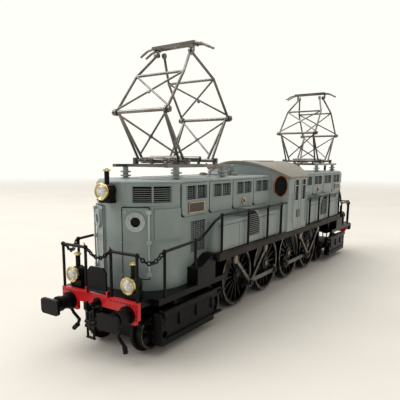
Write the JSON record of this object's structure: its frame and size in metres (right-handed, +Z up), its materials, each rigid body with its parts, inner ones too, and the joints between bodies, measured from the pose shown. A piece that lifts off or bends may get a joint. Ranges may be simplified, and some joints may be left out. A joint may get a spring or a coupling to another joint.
{
  "type": "model electric locomotive",
  "caption": "Scale model electric locomotive with rod-driven spoked wheels, swivelling bogies, central cab and folding pantographs.",
  "frame": {"origin": "on the plane of the wheel flange bottoms, under the middle of the cab", "axes": "X along the track with the front end at -X, +Z up, near side at -Y"},
  "size_m": [0.1908, 0.0356, 0.0815],
  "materials": {
    "body_paint": "satin",
    "roof_paint": "matte",
    "walkway_paint": "matte",
    "black_paint": "satin",
    "louvre_black": "matte",
    "red_paint": "satin",
    "copper": "satin",
    "plate_brass": "satin",
    "brass": "polished",
    "glazing": "clear",
    "lens_glass": "clear",
    "nickel": "satin",
    "insulator_grey": "satin",
    "motor_can": "satin",
    "steel": "satin",
    "wheel_black": "satin",
    "rod_steel": "satin"
  },
  "bodies": {
    "root": {"blank_plates": "plate_brass", "brake_pipes": "black_paint", "buffer_beams": "red_paint", "buffer_housings": "black_paint", "cab_body": "body_paint", "cab_roof": "roof_paint", "coupling_hooks": "black_paint", "door_fittings": "body_paint", "end_decks": "black_paint", "handrails": "black_paint", "headlamp_brass": "brass", "headlamp_lenses": "lens_glass", "headlamps": "black_paint", "hood_front": "body_paint", "hood_rear": "body_paint", "louvres": "louvre_black", "main_frame": "black_paint", "motor_and_bearings": "motor_can", "nose_doors": "body_paint", "pantograph_bases": "nickel", "raised_panels": "body_paint", "roof_fittings": "insulator_grey", "running_board": "walkway_paint", "safety_chains": "black_paint", "side_lockers": "body_paint", "window_glass": "glazing", "window_rims": "copper"},
    "driving_wheelset_1": {"driving_wheelset_1": "wheel_black"},
    "driving_wheelset_2": {"driving_wheelset_2": "wheel_black"},
    "driving_wheelset_3": {"driving_wheelset_3": "wheel_black"},
    "driving_wheelset_4": {"driving_wheelset_4": "wheel_black"},
    "side_rods_front_near": {"side_rods_front_near": "rod_steel"},
    "side_rods_front_far": {"side_rods_front_far": "rod_steel"},
    "bogie_front": {"bogie_frame_front": "black_paint"},
    "bogie_wheelset_front_inner": {"bogie_wheelset_front_inner": "wheel_black"},
    "bogie_wheelset_front_outer": {"bogie_wheelset_front_outer": "wheel_black"},
    "screw_coupling_front": {"screw_coupling_front": "black_paint"},
    "gangway_plate_front": {"gangway_plate_front": "black_paint"},
    "buffer_front_near": {"buffer_front_near": "black_paint"},
    "buffer_front_far": {"buffer_front_far": "black_paint"},
    "pantograph_front_lower_outer": {"pantograph_front_lower_outer": "nickel"},
    "pantograph_front_lower_inner": {"pantograph_front_lower_inner": "nickel"},
    "pantograph_front_upper_outer": {"pantograph_front_upper_outer": "nickel"},
    "pantograph_front_upper_inner": {"pantograph_front_upper_inner": "nickel"},
    "pantograph_front_head": {"pantograph_front_head": "nickel"},
    "side_rods_rear_near": {"side_rods_rear_near": "rod_steel"},
    "side_rods_rear_far": {"side_rods_rear_far": "rod_steel"},
    "bogie_rear": {"bogie_frame_rear": "black_paint"},
    "bogie_wheelset_rear_inner": {"bogie_wheelset_rear_inner": "wheel_black"},
    "bogie_wheelset_rear_outer": {"bogie_wheelset_rear_outer": "wheel_black"},
    "screw_coupling_rear": {"screw_coupling_rear": "black_paint"},
    "gangway_plate_rear": {"gangway_plate_rear": "black_paint"},
    "buffer_rear_near": {"buffer_rear_near": "black_paint"},
    "buffer_rear_far": {"buffer_rear_far": "black_paint"},
    "pantograph_rear_lower_outer": {"pantograph_rear_lower_outer": "nickel"},
    "pantograph_rear_lower_inner": {"pantograph_rear_lower_inner": "nickel"},
    "pantograph_rear_upper_outer": {"pantograph_rear_upper_outer": "nickel"},
    "pantograph_rear_upper_inner": {"pantograph_rear_upper_inner": "nickel"},
    "pantograph_rear_head": {"pantograph_rear_head": "nickel"},
    "drive_shaft": {"drive_shaft": "steel"}
  },
  "joints": [
    {"name": "driving_wheelset_1_spin", "type": "hinge", "parent": "root", "child": "driving_wheelset_1", "pos_m": [-0.0339, 0, 0.01095], "axis": [0, 1, 0], "continuous": true},
    {"name": "driving_wheelset_2_spin", "type": "hinge", "parent": "root", "child": "driving_wheelset_2", "pos_m": [-0.0113, 0, 0.01095], "axis": [0, 1, 0], "continuous": true},
    {"name": "driving_wheelset_3_spin", "type": "hinge", "parent": "root", "child": "driving_wheelset_3", "pos_m": [0.0113, 0, 0.01095], "axis": [0, 1, 0], "continuous": true},
    {"name": "driving_wheelset_4_spin", "type": "hinge", "parent": "root", "child": "driving_wheelset_4", "pos_m": [0.0339, 0, 0.01095], "axis": [0, 1, 0], "continuous": true},
    {"name": "side_rods_front_near_pin", "type": "hinge", "parent": "driving_wheelset_1", "child": "side_rods_front_near", "pos_m": [-0.02851, 0, 0.00758], "axis": [0, 1, 0], "continuous": true},
    {"name": "side_rods_front_far_pin", "type": "hinge", "parent": "driving_wheelset_1", "child": "side_rods_front_far", "pos_m": [-0.03053, 0, 0.01634], "axis": [0, 1, 0], "continuous": true},
    {"name": "side_rods_rear_near_pin", "type": "hinge", "parent": "driving_wheelset_4", "child": "side_rods_rear_near", "pos_m": [0.02851, 0, 0.00758], "axis": [0, 1, 0], "continuous": true},
    {"name": "side_rods_rear_far_pin", "type": "hinge", "parent": "driving_wheelset_4", "child": "side_rods_rear_far", "pos_m": [0.03726, 0, 0.00556], "axis": [0, 1, 0], "continuous": true},
    {"name": "drive_shaft_spin", "type": "hinge", "parent": "root", "child": "drive_shaft", "pos_m": [0, 0, 0.018], "axis": [1, 0, 0], "continuous": true},
    {"name": "bogie_front_swivel", "type": "hinge", "parent": "root", "child": "bogie_front", "pos_m": [-0.0648, 0, 0.01], "axis": [0, 0, 1], "range_deg": [-4, 4]},
    {"name": "bogie_wheelset_front_inner_spin", "type": "hinge", "parent": "bogie_front", "child": "bogie_wheelset_front_inner", "pos_m": [-0.0506, 0, 0.0056], "axis": [0, 1, 0], "continuous": true},
    {"name": "bogie_wheelset_front_outer_spin", "type": "hinge", "parent": "bogie_front", "child": "bogie_wheelset_front_outer", "pos_m": [-0.079, 0, 0.0056], "axis": [0, 1, 0], "continuous": true},
    {"name": "screw_coupling_front_swing", "type": "hinge", "parent": "root", "child": "screw_coupling_front", "pos_m": [-0.091, 0, 0.01345], "axis": [0, 1, 0], "range_deg": [-15, 75]},
    {"name": "gangway_plate_front_fold", "type": "hinge", "parent": "root", "child": "gangway_plate_front", "pos_m": [-0.0884, 0, 0.0169], "axis": [0, -1, 0], "range_deg": [0, 88]},
    {"name": "buffer_front_near_travel", "type": "slide", "parent": "root", "child": "buffer_front_near", "axis": [1, 0, 0], "range_m": [0, 0.0011], "stiffness_N_per_m": 100, "springref_m": -0.001},
    {"name": "buffer_front_far_travel", "type": "slide", "parent": "root", "child": "buffer_front_far", "axis": [1, 0, 0], "range_m": [0, 0.0011], "stiffness_N_per_m": 100, "springref_m": -0.001},
    {"name": "pantograph_front_outer_fold", "type": "hinge", "parent": "root", "child": "pantograph_front_lower_outer", "pos_m": [-0.06275, 0, 0.0492], "axis": [0, -1, 0], "range_deg": [0, 51], "stiffness_Nm_per_rad": 0.0005, "springref_deg": -68.75},
    {"name": "pantograph_front_outer_knee", "type": "hinge", "parent": "pantograph_front_lower_outer", "child": "pantograph_front_upper_outer", "pos_m": [-0.0712, 0, 0.062], "axis": [0, 1, 0], "range_deg": [0, 85.16]},
    {"name": "pantograph_front_head_tilt", "type": "hinge", "parent": "pantograph_front_upper_outer", "child": "pantograph_front_head", "pos_m": [-0.0565, 0, 0.0792], "axis": [0, -1, 0], "range_deg": [0, 34.16]},
    {"name": "pantograph_front_inner_fold", "type": "hinge", "parent": "root", "child": "pantograph_front_lower_inner", "pos_m": [-0.04825, 0, 0.0492], "axis": [0, 1, 0], "range_deg": [0, 51]},
    {"name": "pantograph_front_inner_knee", "type": "hinge", "parent": "pantograph_front_lower_inner", "child": "pantograph_front_upper_inner", "pos_m": [-0.0398, 0, 0.062], "axis": [0, -1, 0], "range_deg": [0, 85.16]},
    {"name": "bogie_rear_swivel", "type": "hinge", "parent": "root", "child": "bogie_rear", "pos_m": [0.0648, 0, 0.01], "axis": [0, 0, 1], "range_deg": [-4, 4]},
    {"name": "bogie_wheelset_rear_inner_spin", "type": "hinge", "parent": "bogie_rear", "child": "bogie_wheelset_rear_inner", "pos_m": [0.0506, 0, 0.0056], "axis": [0, 1, 0], "continuous": true},
    {"name": "bogie_wheelset_rear_outer_spin", "type": "hinge", "parent": "bogie_rear", "child": "bogie_wheelset_rear_outer", "pos_m": [0.079, 0, 0.0056], "axis": [0, 1, 0], "continuous": true},
    {"name": "screw_coupling_rear_swing", "type": "hinge", "parent": "root", "child": "screw_coupling_rear", "pos_m": [0.091, 0, 0.01345], "axis": [0, -1, 0], "range_deg": [-15, 75]},
    {"name": "gangway_plate_rear_fold", "type": "hinge", "parent": "root", "child": "gangway_plate_rear", "pos_m": [0.0884, 0, 0.0169], "axis": [0, 1, 0], "range_deg": [0, 88]},
    {"name": "buffer_rear_near_travel", "type": "slide", "parent": "root", "child": "buffer_rear_near", "axis": [-1, 0, 0], "range_m": [0, 0.0011], "stiffness_N_per_m": 100, "springref_m": -0.001},
    {"name": "buffer_rear_far_travel", "type": "slide", "parent": "root", "child": "buffer_rear_far", "axis": [-1, 0, 0], "range_m": [0, 0.0011], "stiffness_N_per_m": 100, "springref_m": -0.001},
    {"name": "pantograph_rear_outer_fold", "type": "hinge", "parent": "root", "child": "pantograph_rear_lower_outer", "pos_m": [0.06275, 0, 0.0492], "axis": [0, 1, 0], "range_deg": [0, 51], "stiffness_Nm_per_rad": 0.0005, "springref_deg": -68.75},
    {"name": "pantograph_rear_outer_knee", "type": "hinge", "parent": "pantograph_rear_lower_outer", "child": "pantograph_rear_upper_outer", "pos_m": [0.0712, 0, 0.062], "axis": [0, -1, 0], "range_deg": [0, 85.16]},
    {"name": "pantograph_rear_head_tilt", "type": "hinge", "parent": "pantograph_rear_upper_outer", "child": "pantograph_rear_head", "pos_m": [0.0565, 0, 0.0792], "axis": [0, 1, 0], "range_deg": [0, 34.16]},
    {"name": "pantograph_rear_inner_fold", "type": "hinge", "parent": "root", "child": "pantograph_rear_lower_inner", "pos_m": [0.04825, 0, 0.0492], "axis": [0, -1, 0], "range_deg": [0, 51]},
    {"name": "pantograph_rear_inner_knee", "type": "hinge", "parent": "pantograph_rear_lower_inner", "child": "pantograph_rear_upper_inner", "pos_m": [0.0398, 0, 0.062], "axis": [0, 1, 0], "range_deg": [0, 85.16]}
  ],
  "couplings": [
    {"joint": "driving_wheelset_2_spin", "follows": "driving_wheelset_1_spin", "ratio": 1},
    {"joint": "driving_wheelset_3_spin", "follows": "driving_wheelset_1_spin", "ratio": 1},
    {"joint": "driving_wheelset_4_spin", "follows": "driving_wheelset_1_spin", "ratio": 1},
    {"joint": "side_rods_front_near_pin", "follows": "driving_wheelset_1_spin", "ratio": -1},
    {"joint": "side_rods_front_far_pin", "follows": "driving_wheelset_1_spin", "ratio": -1},
    {"joint": "side_rods_rear_near_pin", "follows": "driving_wheelset_1_spin", "ratio": -1},
    {"joint": "side_rods_rear_far_pin", "follows": "driving_wheelset_1_spin", "ratio": -1},
    {"joint": "drive_shaft_spin", "follows": "driving_wheelset_1_spin", "ratio": 12},
    {"joint": "pantograph_front_outer_knee", "follows": "pantograph_front_outer_fold", "ratio": 1.66},
    {"joint": "pantograph_front_head_tilt", "follows": "pantograph_front_outer_fold", "ratio": 0.66},
    {"joint": "pantograph_front_inner_fold", "follows": "pantograph_front_outer_fold", "ratio": 1},
    {"joint": "pantograph_front_inner_knee", "follows": "pantograph_front_outer_fold", "ratio": 1.66},
    {"joint": "pantograph_rear_outer_knee", "follows": "pantograph_rear_outer_fold", "ratio": 1.66},
    {"joint": "pantograph_rear_head_tilt", "follows": "pantograph_rear_outer_fold", "ratio": 0.66},
    {"joint": "pantograph_rear_inner_fold", "follows": "pantograph_rear_outer_fold", "ratio": 1},
    {"joint": "pantograph_rear_inner_knee", "follows": "pantograph_rear_outer_fold", "ratio": 1.66}
  ]
}
